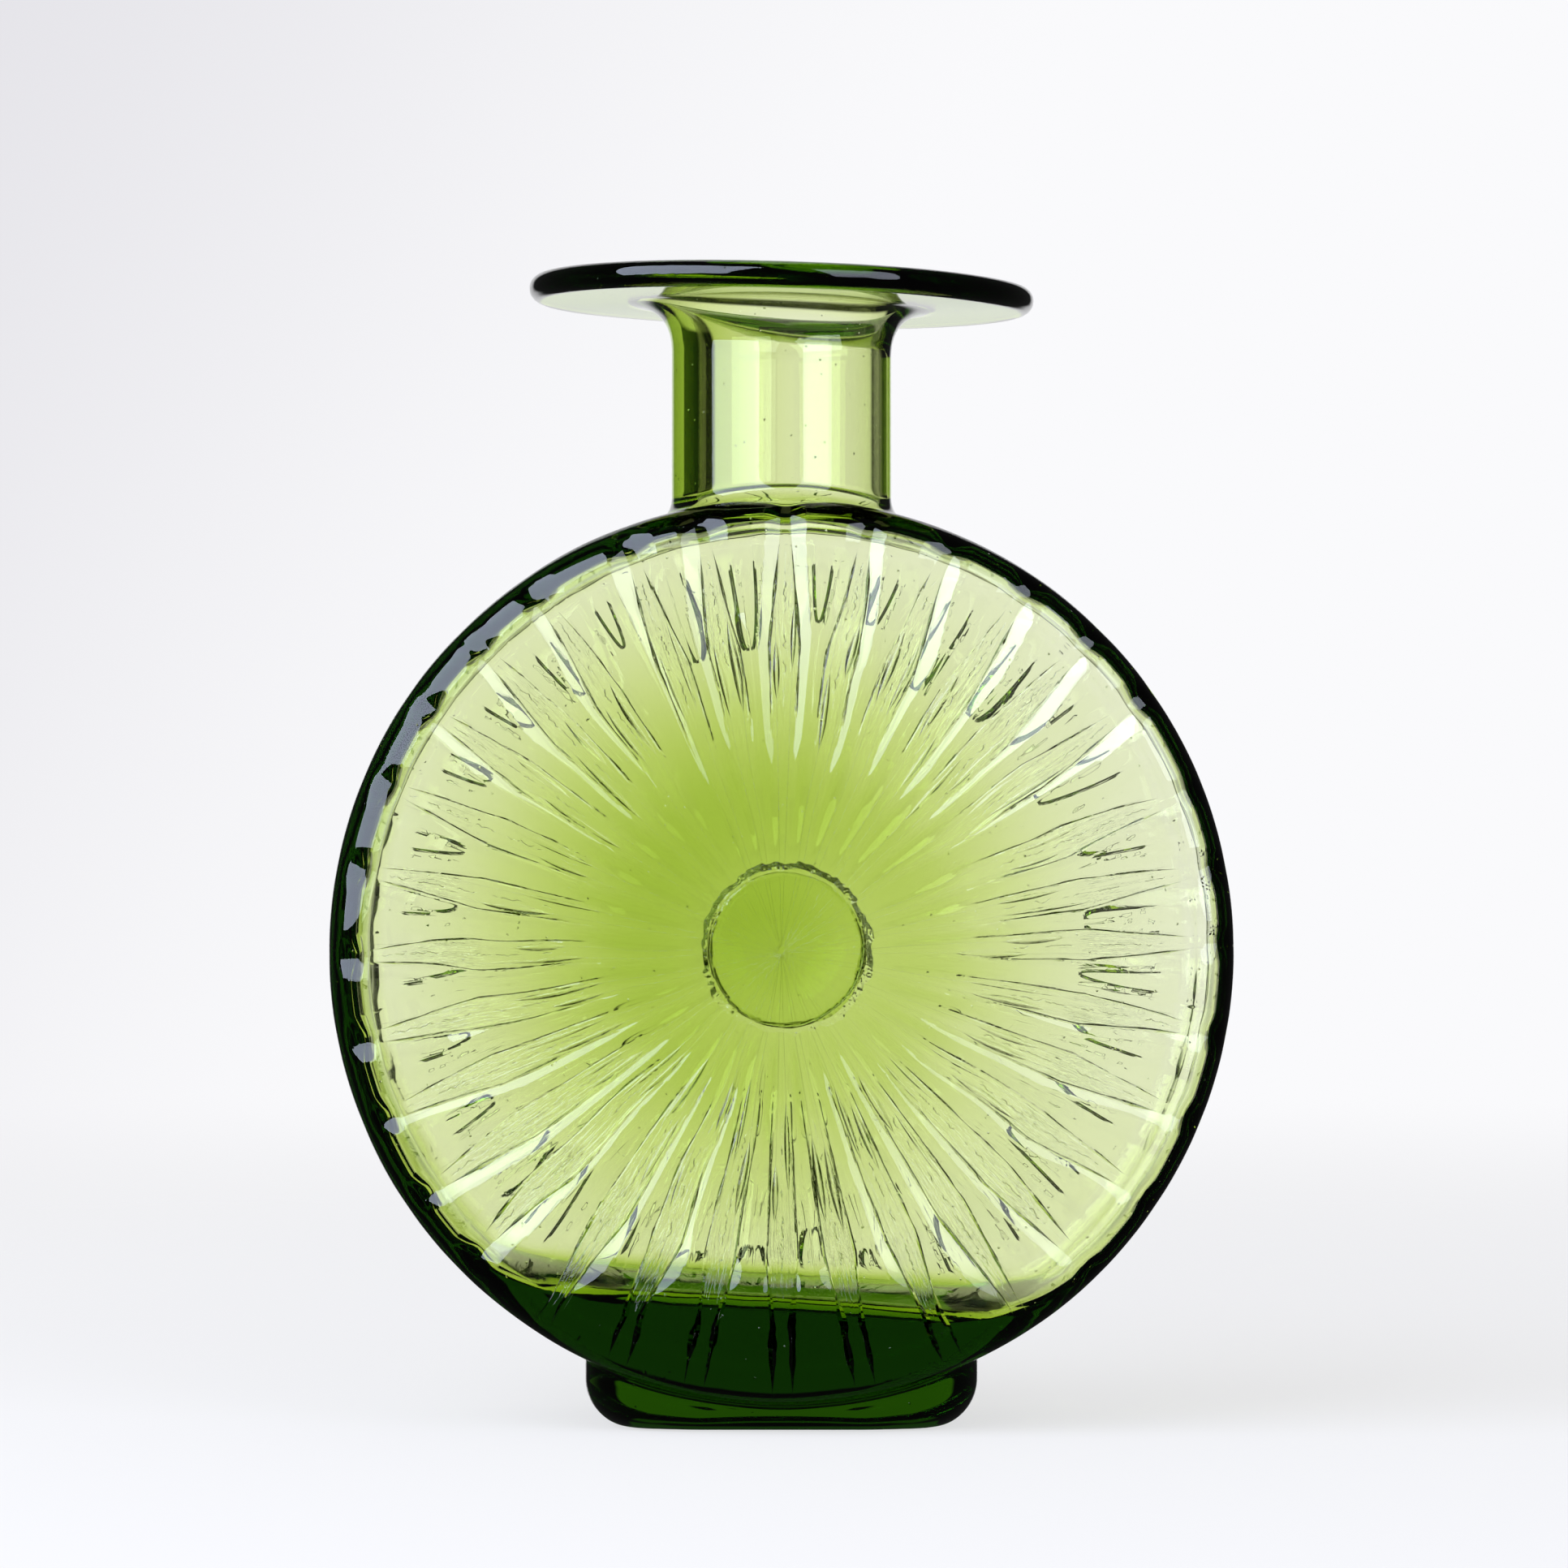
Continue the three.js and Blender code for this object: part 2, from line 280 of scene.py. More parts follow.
# The hollow is what the breath left: a flat chamber with glass pooled at its bottom, and the bore
# of the neck. Its walls are thickest round the bosses. Towards the rim they are thin and follow the
# flutes softly, and round the front boss they swell into petals. The bubble sat a little to the right.
BAND_WALL = 3.5
CHAMBER_SHIFT = 1.0
FACE_EDGE_WALL = 0.75
FACE_MIDDLE_WALL = 6.2
LOWER_WALL, LOWER_REACH = 0.5, 55.0
WALL_REACH = 42.0
THICKEST = (-7.0, 6.0)
BOSS_DIMPLE = 2.9
DIMPLE_EDGE = (3.0, 32.0)
CHAMBER_CORNER = 3.8
HEEL_SLOPE = 0.06
HEEL_FILLET = 11.0
CHAMBER_UNEVEN, POOL_UNEVEN = 0.07, 0.5
FOLLOW_SOFT = 0.7
FOLLOW_FROM = (26.0, 46.0)
PETAL_SHARE = 0.6
PETAL_START, PETAL_END = (15.0, 24.0), (32.0, 46.0)
BORE_WIDE, BORE_DEEP = 18.5, 19.8
BORE_SHIFT = 1.0
BORE_BLEND = 4.0
BORE_FROM = 40.0
MOUTH_FLARE, FLARE_END = 13.0, 0.99

heel_top = node_box("heel")[1][2]


def smooth_min(a, b, blend):
    """The union of two forms, run together over a length."""
    share = np.clip(0.5 + 0.5 * (b - a) / blend, 0, 1)
    return b + (a - b) * share - blend * share * (1 - share)


def smooth_max(a, b, blend):
    """The overlap of two forms, with its edge rounded over a length."""
    return -smooth_min(-a, -b, blend)


def hollow(x, y, z, across, flank, channel, pressed):
    from_thickest = np.hypot(x - THICKEST[0], z - body_z - THICKEST[1])
    thicker = (FACE_MIDDLE_WALL - FACE_EDGE_WALL) * np.exp(-((from_thickest / WALL_REACH) ** 2))
    shift = BOSS_SHIFT[(y > 0).astype(int)]
    from_boss = np.hypot(x - shift[..., 0], z - body_z - shift[..., 1])
    wall = FACE_EDGE_WALL + thicker - BOSS_DIMPLE * (1 - ease(from_boss, *DIMPLE_EDGE))
    wall = wall + LOWER_WALL * ease(body_z - z, 0, LOWER_REACH)
    from_bubble = np.hypot(x - CHAMBER_SHIFT, z - body_z)
    chamber = round_disc(from_bubble, y, body_radius - BAND_WALL, face_y - wall, CHAMBER_CORNER)
    petal = PETAL_SHARE * ease(from_bubble, *PETAL_START) * (1 - ease(from_bubble, *PETAL_END))
    follow = ease(from_bubble, *FOLLOW_FROM) * pressed - petal * (y < 0)
    chamber = chamber + follow * flanks(across, flank, channel, FOLLOW_SOFT)
    chamber = chamber + CHAMBER_UNEVEN * waves(x, y, z, length=26, seed=11)
    pool = heel_top - HEEL_SLOPE * x - z
    pool = pool + POOL_UNEVEN * waves(x, y, 0, length=45, seed=17)
    chamber = smooth_max(chamber, pool, HEEL_FILLET)
    climb = np.clip((z - lip_z - LIP_THICKNESS / 2) / MOUTH_FLARE + 1, 0, FLARE_END)
    flare = MOUTH_FLARE * (1 - np.sqrt(1 - climb**2))
    oval = np.hypot((x - BORE_SHIFT) / (BORE_WIDE + flare), y / (BORE_DEEP + flare)) - 1
    bore = np.maximum(oval * (BORE_WIDE + flare), body_z + BORE_FROM - z)
    return smooth_min(chamber, bore, BORE_BLEND)


# The skin is the whole flask: its outer forms run together, less the hollow, with the mouth's
# edge rounded in the fire. Its net runs round the body's axis, so that it lies along the flutes.
MOUTH_ROUND = 0.3
TURN_BANDS = ((-23, 23, 0.25), (23, 337, 0.46))
RADIUS_BANDS = (
    (0, 12, 3.0),
    (12, 13, 0.5),
    (13, 16.4, 0.2),
    (16.4, 18, 0.8),
    (18, 60, 1.5),
    (60, 76, 1.2),
    (76, 101, 0.7),
    (101, 122, 1.2),
)
LIP_BAND = (122, 142, 0.8)
DEPTH_BANDS = ((0, 10, 2.0), (10, 26, 0.7), (26, 30.6, 0.25), (30.6, 34, 0.5))
LIP_DEPTH_BAND = (34, 52, 0.9)
NECK_TURN = math.radians(27)
NECK_FROM = 84


def flask(x, y, z):
    _, _, *flute = flutes(x, y, z)
    glass = drum(x, y, z, *flute) - rear_boss(x, y, z)
    glass = smooth_min(glass, front_boss(x, y, z), BOSS_BLEND)
    glass = smooth_min(glass, neck(x, y, z), NECK_BLEND)
    glass = smooth_min(glass, lip(x, y, z), LIP_BLEND)
    glass = smooth_min(glass, foot(x, y, z), FOOT_BLEND)
    return smooth_max(glass, -hollow(x, y, z, *flute), MOUTH_ROUND)


def levels(bands):
    """Grid levels through a run of bands, each with its own step."""
    runs = [np.linspace(a, b, int(round((b - a) / step)), endpoint=False) for a, b, step in bands]
    return np.concatenate([*runs, [bands[-1][1]]])


def sample(form, radii, turns, depths):
    """The form on a grid round the body's axis, worked out only near the body and the neck."""
    field = np.ones((len(radii), len(turns), len(depths)), np.float32)
    near_neck = np.abs((turns + math.pi) % (2 * math.pi) - math.pi) < NECK_TURN
    near_body = np.abs(depths) <= DEPTH_BANDS[-1][1]
    for i, radius in enumerate(radii):
        x = radius * np.sin(turns)
        z = body_z + radius * np.cos(turns)
        if radius <= RADIUS_BANDS[-2][1]:
            field[i][:, near_body] = form(x[:, None], depths[near_body][None, :], z[:, None])
        if radius >= NECK_FROM:
            field[i][near_neck] = form(x[near_neck][:, None], depths[None, :], z[near_neck][:, None])
    return field


def net(field, radii, turns, depths):
    """Corners and faces of a closed net over the surface of a form, one corner to a grid cell.
    The grid's turns close on themselves, and a fan closes the net over the axis."""
    rings, ring, rows = field.shape
    looped = np.concatenate([field, field[:, :1]], axis=1)
    steps = (radii, np.append(turns, turns[0] + 2 * math.pi), depths)
    inside = looped < 0
    filled = np.zeros((rings - 1, ring, rows - 1), np.int8)
    offsets = [(i, j, k) for i in (0, 1) for j in (0, 1) for k in (0, 1)]
    for i, j, k in offsets:
        filled += inside[i : i + rings - 1, j : j + ring, k : k + rows - 1]
    crossed = np.argwhere((filled > 0) & (filled < len(offsets)))
    number = np.full(filled.shape, -1)
    number[tuple(crossed.T)] = np.arange(len(crossed))

    places = np.zeros((len(crossed), 3))
    hits = np.zeros(len(crossed))
    for start in offsets:
        for axis in range(3):
            if start[axis]:
                continue
            end = tuple(1 if a == axis else s for a, s in enumerate(start))
            first = tuple((crossed + start).T)
            last = tuple((crossed + end).T)
            near, far = looped[first], looped[last]
            cut = (near < 0) != (far < 0)
            share = np.where(cut, near / np.where(cut, near - far, 1), 0)
            for a in range(3):
                place = steps[a][first[a]] + share * (steps[a][last[a]] - steps[a][first[a]])
                places[:, a] += np.where(cut, place, 0)
            hits += cut
    places /= hits[:, None]
    radius, turn, depth = places.T
    corners = np.stack([radius * np.sin(turn), depth, body_z + radius * np.cos(turn)], axis=1)

    faces = []
    here = inside[:, :ring]
    size = np.array(here.shape)
    for axis in range(3):
        after, last = (axis + 1) % 3, (axis + 2) % 3
        low = np.array([a not in (axis, 1) for a in range(3)])
        high = size - np.array([1, 0, 1])
        there = np.roll(here, -1, axis)
        for leaving in (True, False):
            edges = np.argwhere((here == leaving) & (there != leaving))
            edges = edges[((edges >= low) & (edges < high)).all(axis=1)]
            around = []
            for back_after, back_last in ((1, 1), (0, 1), (0, 0), (1, 0)):
                cell = edges.copy()
                cell[:, after] -= back_after
                cell[:, last] -= back_last
                cell[:, 1] %= ring
                around.append(number[tuple(cell.T)])
            faces += np.stack(around if leaving else around[::-1], axis=1).tolist()
    for row in np.flatnonzero(here[0, 0, :-1] != here[0, 0, 1:]):
        fan = number[0, :, row].tolist()
        faces.append(fan if here[0, 0, row] else fan[::-1])
    return corners, faces


def slopes(form, points, reach=0.02):
    """The gradient of a form at a list of points."""
    parts = []
    for axis in range(3):
        step = np.zeros(3)
        step[axis] = reach
        ahead = form(*(points + step).T)
        behind = form(*(points - step).T)
        parts.append((ahead - behind) / (2 * reach))
    return np.stack(parts, axis=1)


def settle(form, points, rounds=2, most=0.6, least=0.2):
    """Moves points on to the surface of a form, straight up or down its slope."""
    for _ in range(rounds):
        slope = slopes(form, points)
        height = form(*points.T)
        move = height / np.maximum((slope**2).sum(axis=1), least)
        points = points - np.clip(move, -most, most)[:, None] * slope
    return points


radii = levels((*RADIUS_BANDS, LIP_BAND))
turns = np.radians(levels(TURN_BANDS)[:-1])
half_depths = levels((*DEPTH_BANDS, LIP_DEPTH_BAND))
depths = np.concatenate([-half_depths[:0:-1], half_depths])
corners, faces = net(sample(flask, radii, turns, depths), radii, turns, depths)
corners = settle(flask, corners)
normals = slopes(flask, corners)
normals /= np.linalg.norm(normals, axis=1)[:, None]

skin = bpy.data.meshes.new("flask_glass")
skin.from_pydata((corners * MM).tolist(), [], faces)
skin.shade_smooth()
skin.normals_split_custom_set_from_vertices(normals.tolist())

# The fine marks need to know, at each point, how its flute strays and starts late, and whether the
# point lies on a face, where the marks fade towards the rim. Over the heel they reach further out.
MARKS_FADE, MARKS_LATER = (72.0, 77.5), (2.0, 7.0)
HEEL_MARKS = (60.0, 70.0)
MARKS_DOWN = (2.5, 4.0)
INSIDE_SHARE = 1 / 3

stray, late, *flute = flutes(*corners.T)
from_axis = np.hypot(corners[:, 0], corners[:, 2] - body_z)
outside = hollow(*corners.T, *flute) > FACE_EDGE_WALL * INSIDE_SHARE
over_heel = ease(body_z - corners[:, 2], *HEEL_MARKS)
fade_from, fade_to = (fade + later * over_heel for fade, later in zip(MARKS_FADE, MARKS_LATER))
on_face = outside * (1 - ease(from_axis, fade_from, fade_to))
on_face = on_face * (1 - ease(face_y - np.abs(corners[:, 1]), *MARKS_DOWN))
marks = np.stack([stray, late, on_face], axis=1)
marks_layer = skin.attributes.new("flute_marks", "FLOAT_VECTOR", "POINT")
marks_layer.data.foreach_set("vector", marks.ravel())

flask_glass = bpy.data.objects.new("flask_glass", skin)
bpy.context.collection.objects.link(flask_glass)


def linear(code):
    """An sRGB hex colour as linear red, green, blue and alpha."""
    parts = [int(code[i : i + 2], 16) / 255 for i in (1, 3, 5)]
    return [p / 12.92 if p <= 0.04045 else ((p + 0.055) / 1.055) ** 2.4 for p in parts] + [1]


def add_node(tree, kind, *inputs, **settings):
    """Adds a node, sets its properties, and sets or links its inputs, given in order or by name.
    A node that is given as an input stands for its first output."""
    node = tree.nodes.new("ShaderNode" + kind)
    for name, value in settings.items():
        setattr(node, name, value)
    by_name = inputs and isinstance(inputs[0], dict)
    for name, value in inputs[0].items() if by_name else enumerate(inputs):
        if isinstance(value, bpy.types.Node):
            value = value.outputs[0]
        if isinstance(value, bpy.types.NodeSocket):
            tree.links.new(value, node.inputs[name])
        else:
            node.inputs[name].default_value = value
    return node


# Soda-lime glass coloured green by iron and chromium, fire-polished outside. It is clear, so its
# depth of colour comes from how much glass the light crosses. The carved mould left fine lines on
# the faces. They are heights in millimetres, laid out like the flutes, that bend the light.
GLASS_IOR = 1.5
ABSORB_PER_MM = (0.100, 0.063, 0.300)

green_glass = bpy.data.materials.new("green_soda_lime_glass")
green_glass.use_nodes = True
tree = green_glass.node_tree
tree.nodes.clear()

marks = add_node(tree, "Attribute", attribute_name="flute_marks").outputs["Vector"]
stray, late, on_face = add_node(tree, "SeparateXYZ", marks).outputs
spot = add_node(tree, "TexCoord").outputs["Object"]
place = add_node(tree, "VectorMath", {0: spot, "Scale": 1 / MM}, operation="SCALE")
place = add_node(tree, "VectorMath", place, (0, 0, body_z), operation="SUBTRACT")
right, back, up = add_node(tree, "SeparateXYZ", place).outputs
rear = add_node(tree, "Math", back, 0.0, operation="GREATER_THAN")
front = add_node(tree, "Math", 1.0, rear, operation="SUBTRACT")
radius = add_node(tree, "Math", up, up, operation="MULTIPLY")
radius = add_node(tree, "Math", right, right, radius, operation="MULTIPLY_ADD")
radius = add_node(tree, "Math", radius, operation="SQRT")
turn = add_node(tree, "Math", right, up, operation="ARCTAN2")
turn = add_node(tree, "Math", rear, -pitch / 2, turn, operation="MULTIPLY_ADD")
number = add_node(tree, "Math", turn, pitch, operation="DIVIDE")
number = add_node(tree, "Math", number, operation="ROUND")
turn = add_node(tree, "Math", number, -pitch, turn, operation="MULTIPLY_ADD")
across = add_node(tree, "Math", turn, operation="SINE")
across = add_node(tree, "Math", across, radius, stray, operation="MULTIPLY_ADD")
apart = add_node(tree, "Math", across, operation="ABSOLUTE")
one = add_node(tree, "Math", number, FLUTE_COUNT, operation="FLOORED_MODULO")
one = add_node(tree, "Math", rear, FLUTE_COUNT, one, operation="MULTIPLY_ADD")
lower = add_node(tree, "Math", up, radius, operation="DIVIDE")
lower = add_node(tree, "Math", 1.0, lower, operation="SUBTRACT")
inward = add_node(tree, "Math", lower, FLUTE_LOWER, radius, operation="MULTIPLY_ADD")

# Hairline grooves run along both edges of each front channel, and are wider over the heel. A range
# of four numbers holds two places and the values there.
CHANNEL_INNER, CHANNEL_OUTER = (20, 58, 1.2, 2.9), (58, 78, 2.9, 1.1)
CHANNEL_HEEL = (-72, -60, 1.9, 0)
EDGE_WIDTH = (-74, -64, 0.9, 0.27)
EDGE_WAVE, EDGE_STEP, EDGE_UNEVEN = 9.0, 13.0, (0.3, 0.7, 0.5, 1.4)
EDGE_INWARD = (40, 53)
EDGE_SLOPE = 1.3

flank_one = add_node(tree, "Math", across, 0.0, operation="GREATER_THAN")
flank_one = add_node(tree, "Math", flank_one, 0.5, one, operation="MULTIPLY_ADD")
widening = add_node(tree, "MapRange", radius, *CHANNEL_INNER)
narrowing = add_node(tree, "MapRange", radius, *CHANNEL_OUTER)
half = add_node(tree, "Math", narrowing, widening, operation="MINIMUM")
heel_half = add_node(tree, "MapRange", up, *CHANNEL_HEEL)
half = add_node(tree, "Math", half, heel_half, operation="MAXIMUM")
uneven = add_node(tree, "Math", radius, EDGE_WAVE, operation="DIVIDE")
uneven = add_node(tree, "Math", flank_one, EDGE_STEP, uneven, operation="MULTIPLY_ADD")
uneven = add_node(tree, "TexNoise", {"W": uneven, "Scale": 1.0}, noise_dimensions="1D")
uneven = add_node(tree, "MapRange", uneven, *EDGE_UNEVEN)
edge_half = add_node(tree, "MapRange", up, *EDGE_WIDTH)
edge_half = add_node(tree, "Math", edge_half, uneven, operation="MULTIPLY")
edge_half = add_node(tree, "Math", edge_half, on_face, operation="MULTIPLY")
edge = add_node(tree, "Math", apart, half, operation="SUBTRACT")
edge = add_node(tree, "Math", edge, operation="ABSOLUTE")
edge = add_node(tree, "Math", edge_half, edge, operation="SUBTRACT")
edge = add_node(tree, "Math", edge, 0.0, operation="MAXIMUM")
edge_fade = add_node(tree, "MapRange", inward, *EDGE_INWARD)
edge = add_node(tree, "Math", edge, edge_fade, operation="MULTIPLY")
edge_slope = add_node(tree, "Math", front, -EDGE_SLOPE, operation="MULTIPLY")
edge = add_node(tree, "Math", edge, edge_slope, operation="MULTIPLY")

# A lens-shaped gouge stands on each flank of the front flutes, with its own place and size.
GOUGE_PLACE, GOUGE_LENGTH = (0, 1, 44, 60), (0, 1, 5, 9)
GOUGE_WIDTH, GOUGE_LEAST = (0, 1, 0.34, 0.85), 0.02
GOUGE_APART, GOUGE_SLOPE = 0.028, 1.9

chance = add_node(tree, "TexWhiteNoise", {"W": flank_one}, noise_dimensions="1D").outputs["Color"]
chance_place, chance_length, chance_width = add_node(tree, "SeparateColor", chance).outputs
gouge_place = add_node(tree, "MapRange", chance_place, *GOUGE_PLACE)
gouge_length = add_node(tree, "MapRange", chance_length, *GOUGE_LENGTH)
gouge_width = add_node(tree, "MapRange", chance_width, *GOUGE_WIDTH)
along = add_node(tree, "Math", inward, gouge_place, operation="SUBTRACT")
along = add_node(tree, "Math", along, gouge_length, operation="DIVIDE")
along = add_node(tree, "Math", along, along, operation="MULTIPLY")
gouge_half = add_node(tree, "Math", 1.0, along, operation="SUBTRACT")
gouge_half = add_node(tree, "Math", gouge_half, gouge_width, operation="MULTIPLY")
gouge_half = add_node(tree, "Math", gouge_half, GOUGE_LEAST, operation="MAXIMUM")
gouge = add_node(tree, "Math", radius, -GOUGE_APART, apart, operation="MULTIPLY_ADD")
gouge = add_node(tree, "Math", gouge, gouge_half, operation="DIVIDE")
gouge = add_node(tree, "Math", gouge, gouge, operation="MULTIPLY")
gouge = add_node(tree, "Math", 1.0, gouge, operation="SUBTRACT")
gouge = add_node(tree, "Math", gouge, 0.0, operation="MAXIMUM")
gouge_high = add_node(tree, "Math", gouge_half, GOUGE_SLOPE / 2, operation="MULTIPLY")
gouge = add_node(tree, "Math", gouge, gouge_high, operation="MULTIPLY")
gouge = add_node(tree, "Math", gouge, front, operation="MULTIPLY")

# Each rear flute ends in a loop, a fine groove along a parabola that opens outward.
LOOP_FROM, LOOP_WIDTH, LOOP_LENGTH, LOOP_HALF, LOOP_DEPTH = 58.5, 1.9, 14.0, 0.30, 0.36

past = add_node(tree, "Math", radius, LOOP_FROM, operation="SUBTRACT")
past = add_node(tree, "Math", past, late, operation="SUBTRACT")
past = add_node(tree, "Math", past, LOOP_LENGTH, operation="DIVIDE")
bow = add_node(tree, "Math", across, LOOP_WIDTH, operation="DIVIDE")
bow = add_node(tree, "Math", bow, bow, operation="MULTIPLY")
bow = add_node(tree, "Math", bow, past, operation="SUBTRACT")
steep = add_node(tree, "Math", across, 2 / LOOP_WIDTH**2, operation="MULTIPLY")
steep = add_node(tree, "Math", steep, steep, 1 / LOOP_LENGTH**2, operation="MULTIPLY_ADD")
steep = add_node(tree, "Math", steep, operation="SQRT")
loop = add_node(tree, "Math", bow, steep, operation="DIVIDE")
loop = add_node(tree, "Math", loop, operation="ABSOLUTE")
loop = add_node(tree, "MapRange", loop, 0, LOOP_HALF, 1, 0)
loop_depth = add_node(tree, "Math", rear, -LOOP_DEPTH, operation="MULTIPLY")
loop = add_node(tree, "Math", loop, loop_depth, operation="MULTIPLY")

# A broken crack wanders along the middle of each front channel.
CRACK_HALF, CRACK_DEPTH, CRACK_STRAY = 0.10, 0.10, 1.1
CRACK_WAVE, CRACK_STEP = 1.6, 37.0
BREAK_WAVE, BREAK_STEP, BREAK_EDGE = 5.0, 11.0, (0.46, 0.52)
CRACK_INWARD = (44, 52)

wobble = add_node(tree, "Math", radius, CRACK_WAVE, operation="DIVIDE")
wobble = add_node(tree, "Math", one, CRACK_STEP, wobble, operation="MULTIPLY_ADD")
wobble = add_node(tree, "TexNoise", {"W": wobble, "Scale": 1.0}, noise_dimensions="1D")
wobble = add_node(tree, "Math", wobble, 0.5, operation="SUBTRACT")
broken = add_node(tree, "Math", radius, BREAK_WAVE, operation="DIVIDE")
broken = add_node(tree, "Math", one, BREAK_STEP, broken, operation="MULTIPLY_ADD")
broken = add_node(tree, "TexNoise", {"W": broken, "Scale": 1.0}, noise_dimensions="1D")
broken = add_node(tree, "MapRange", broken, *BREAK_EDGE)
crack = add_node(tree, "Math", wobble, CRACK_STRAY, across, operation="MULTIPLY_ADD")
crack = add_node(tree, "Math", crack, operation="ABSOLUTE")
crack = add_node(tree, "MapRange", crack, 0, CRACK_HALF, 1, 0)
crack = add_node(tree, "Math", crack, broken, operation="MULTIPLY")
crack_depth = add_node(tree, "MapRange", inward, *CRACK_INWARD)
crack_depth = add_node(tree, "Math", crack_depth, -CRACK_DEPTH, operation="MULTIPLY")
crack = add_node(tree, "Math", crack, crack_depth, operation="MULTIPLY")
crack = add_node(tree, "Math", crack, front, operation="MULTIPLY")

# Long ripples lie in the channels, stronger towards the bottom.
RIPPLE_ACROSS, RIPPLE_ALONG, RIPPLE_STEP = 0.6, 9.0, 23.0
RIPPLE_GRAIN = {"Scale": 1.0, "Detail": 2.0, "Roughness": 0.6, "Distortion": 0.6}
RIPPLE_CHANNEL, RIPPLE_FROM = (0.7, 1.1, 1, 0), (34, 50)
RIPPLE_HEIGHT = (-30, 40, 0.32, 0.128)

along = add_node(tree, "Math", radius, RIPPLE_ALONG, operation="DIVIDE")
along = add_node(tree, "Math", one, RIPPLE_STEP, along, operation="MULTIPLY_ADD")
aside = add_node(tree, "Math", across, RIPPLE_ACROSS, operation="DIVIDE")
grain = add_node(tree, "CombineXYZ", aside, along)
ripple = add_node(tree, "TexNoise", {"Vector": grain, **RIPPLE_GRAIN})
in_channel = add_node(tree, "Math", apart, half, operation="DIVIDE")
in_channel = add_node(tree, "MapRange", in_channel, *RIPPLE_CHANNEL)
ripple_from = add_node(tree, "MapRange", radius, *RIPPLE_FROM)
in_channel = add_node(tree, "Math", in_channel, ripple_from, operation="MULTIPLY")
ripple = add_node(tree, "Math", ripple, in_channel, operation="MULTIPLY")
ripple_height = add_node(tree, "MapRange", up, *RIPPLE_HEIGHT)
ripple = add_node(tree, "Math", ripple, ripple_height, operation="MULTIPLY")

# A ragged crease runs round the foot of the front boss, where the plug of the mould met the face.
CREASE_RAGGED = {"Scale": 0.22, "Detail": 3.0, "Roughness": 0.6}
CREASE_WIDTH, CREASE_SLOPE = (0.4, 0.68, 0.85, 1.7), 1.3

boss_middle = (BOSS_SHIFT[0, 0], 0, BOSS_SHIFT[0, 1])
boss_way = add_node(tree, "VectorMath", place, boss_middle, operation="SUBTRACT")
boss_way = add_node(tree, "VectorMath", boss_way, (1, 0, 1), operation="MULTIPLY")
from_boss = add_node(tree, "VectorMath", boss_way, operation="LENGTH").outputs["Value"]
ragged = add_node(tree, "TexNoise", {"Vector": place, **CREASE_RAGGED})
crease_half = add_node(tree, "MapRange", ragged, *CREASE_WIDTH)
crease = add_node(tree, "Math", from_boss, boss_radius, operation="SUBTRACT")
crease = add_node(tree, "Math", crease_half, -0.5, crease, operation="MULTIPLY_ADD")
crease = add_node(tree, "Math", crease, operation="ABSOLUTE")
crease = add_node(tree, "Math", crease_half, crease, operation="SUBTRACT")
crease = add_node(tree, "Math", crease, 0.0, operation="MAXIMUM")
crease_slope = add_node(tree, "Math", front, -CREASE_SLOPE, operation="MULTIPLY")
crease = add_node(tree, "Math", crease, crease_slope, operation="MULTIPLY")

# Small seeds of air dot the surface. All the marks together make one height.
SEED_SPACING, SEED_RADIUS, SEED_HEIGHT = 3.6, 0.24, 0.15
FINE_UP = (-70, -62)

seeds = add_node(tree, "TexVoronoi", {"Vector": place, "Scale": 1 / SEED_SPACING}).outputs["Distance"]
dimple = add_node(tree, "MapRange", seeds, 0, SEED_RADIUS / SEED_SPACING, SEED_HEIGHT, 0)
fine = add_node(tree, "Math", gouge, loop, operation="ADD")
fine = add_node(tree, "Math", fine, crack, operation="ADD")
fine = add_node(tree, "Math", fine, ripple, operation="ADD")
fine_up = add_node(tree, "MapRange", up, *FINE_UP)
height = add_node(tree, "Math", fine, fine_up, crease, operation="MULTIPLY_ADD")
everywhere = add_node(tree, "Math", edge, dimple, operation="ADD")
height = add_node(tree, "Math", height, on_face, everywhere, operation="MULTIPLY_ADD")
marked = add_node(tree, "Bump", {"Height": height, "Strength": 1.0, "Distance": MM})

clear_glass = {
    "Base Color": (1, 1, 1, 1),
    "Roughness": 0.0,
    "IOR": GLASS_IOR,
    "Transmission Weight": 1.0,
    "Normal": marked,
}
surface = add_node(tree, "BsdfPrincipled", clear_glass)
most = max(ABSORB_PER_MM)
tint = [1 - part / most for part in ABSORB_PER_MM] + [1]
depth_of_colour = add_node(tree, "VolumeAbsorption", {"Color": tint, "Density": most / MM})
add_node(tree, "OutputMaterial", {"Surface": surface, "Volume": depth_of_colour})
skin.materials.append(green_glass)

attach(flask_glass, "root")
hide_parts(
    "lip",
    "neck",
    "rim_band",
    "front_face",
    "rear_face",
    "front_boss",
    "rear_boss",
    "heel",
    "foot",
)

# The floor is a sheet of white board, which fades into the pale room before its edge.
FLOOR_RADIUS = 1.3
FLOOR_SIDES = 96
FLOOR_GAP = 0.0002
FLOOR_SOLID, FLOOR_GONE = 0.2, 0.92
FLOOR_WHITE = "#f9f9fb"
FLOOR_MATT = "#d2cec8"
FLOOR_PALER = 0.7
SOFT = "SMOOTHSTEP"

rim = [
    (FLOOR_RADIUS * math.cos(turn), FLOOR_RADIUS * math.sin(turn), 0)
    for turn in np.linspace(0, 2 * math.pi, FLOOR_SIDES, endpoint=False)
]
board = bpy.data.meshes.new("floor")
board.from_pydata(rim, [], [list(range(len(rim)))])
floor = bpy.data.objects.new("floor", board)
floor.location.z = cad_box[0][2] - FLOOR_GAP
bpy.context.collection.objects.link(floor)

